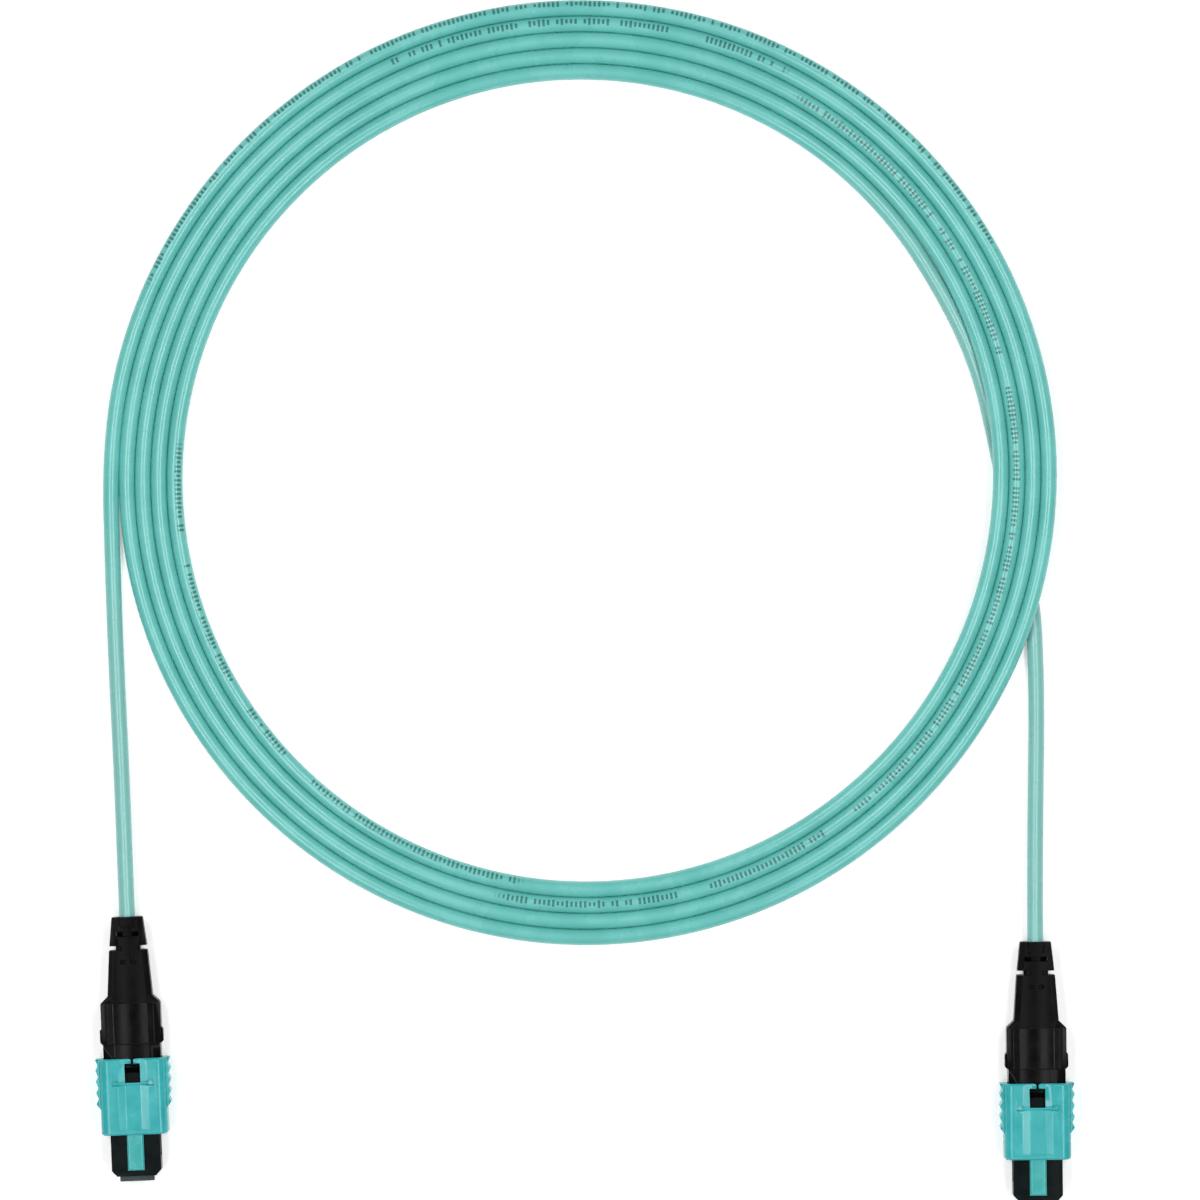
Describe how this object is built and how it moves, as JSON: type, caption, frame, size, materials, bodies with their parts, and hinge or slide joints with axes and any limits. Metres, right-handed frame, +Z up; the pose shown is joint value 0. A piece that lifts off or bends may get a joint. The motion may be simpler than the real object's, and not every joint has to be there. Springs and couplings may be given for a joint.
{
  "type": "mpo fibre patch cord",
  "caption": "Round aqua fibre cable wound in a flat coil, with a keyed push-on multi-fibre plug, sliding sleeve and notched boot on each end.",
  "frame": {"origin": "bottom centre of plug A's box, on the table under the middle of its length", "axes": "+Z up from the table with the keys up, -Y the way plug A's ferrule points, +X towards plug B"},
  "size_m": [0.1856, 0.23, 0.0077],
  "materials": {
    "housing_black": "fine moulded, satin",
    "boot_black": "soft matt",
    "sleeve_aqua": "moulded, satin",
    "cable_aqua": "extruded jacket, satin",
    "ferrule_dark": "glass filled, polished face",
    "soft_boot": "soft",
    "keeper_metal": "stamped",
    "crimp_metal": "crimped",
    "spring_steel": "drawn wire",
    "yarn_yellow": "aramid fibre",
    "fibre_glass": "coated fibre"
  },
  "bodies": {
    "plug": {"plug_housing_a": "housing_black", "polarity_key_a": "sleeve_aqua", "rear_body_a": "housing_black", "aramid_yarn_a": "yarn_yellow", "crimp_ring_a": "crimp_metal", "strain_relief_a": "boot_black", "ferrule_spring_a": "spring_steel", "sleeve_spring_left_a": "spring_steel", "sleeve_spring_right_a": "spring_steel", "cable_tail_a": "cable_aqua", "plug_housing_b": "housing_black", "polarity_key_b": "sleeve_aqua", "rear_body_b": "housing_black", "aramid_yarn_b": "yarn_yellow", "crimp_ring_b": "crimp_metal", "strain_relief_b": "boot_black", "ferrule_spring_b": "spring_steel", "sleeve_spring_left_b": "spring_steel", "sleeve_spring_right_b": "spring_steel", "cable_tail_b": "cable_aqua", "cable_coil": "cable_aqua"},
    "sleeve_a": {"coupling_sleeve_a": "sleeve_aqua"},
    "ferrule_a": {"mt_ferrule_a": "ferrule_dark", "ferrule_boot_a": "soft_boot", "pin_keeper_a": "keeper_metal", "fibre_bundle_a": "fibre_glass"},
    "sleeve_b": {"coupling_sleeve_b": "sleeve_aqua"},
    "ferrule_b": {"mt_ferrule_b": "ferrule_dark", "ferrule_boot_b": "soft_boot", "pin_keeper_b": "keeper_metal", "fibre_bundle_b": "fibre_glass"}
  },
  "joints": [
    {"name": "sleeve_a_slide", "type": "slide", "parent": "plug", "child": "sleeve_a", "axis": [0, 1, 0], "range_m": [0, 0.0025], "stiffness_N_per_m": 900, "springref_m": -0.002, "deforming": ["sleeve_spring_left_a", "sleeve_spring_right_a"]},
    {"name": "ferrule_a_float", "type": "slide", "parent": "plug", "child": "ferrule_a", "axis": [0, 1, 0], "range_m": [0, 0.0007], "stiffness_N_per_m": 4000, "springref_m": -0.0025, "deforming": ["ferrule_spring_a"]},
    {"name": "sleeve_b_slide", "type": "slide", "parent": "plug", "child": "sleeve_b", "axis": [0.0302, 0.9995, 0], "range_m": [0, 0.0025], "stiffness_N_per_m": 900, "springref_m": -0.002, "deforming": ["sleeve_spring_left_b", "sleeve_spring_right_b"]},
    {"name": "ferrule_b_float", "type": "slide", "parent": "plug", "child": "ferrule_b", "axis": [0.0302, 0.9995, 0], "range_m": [0, 0.0007], "stiffness_N_per_m": 4000, "springref_m": -0.0025, "deforming": ["ferrule_spring_b"]}
  ]
}
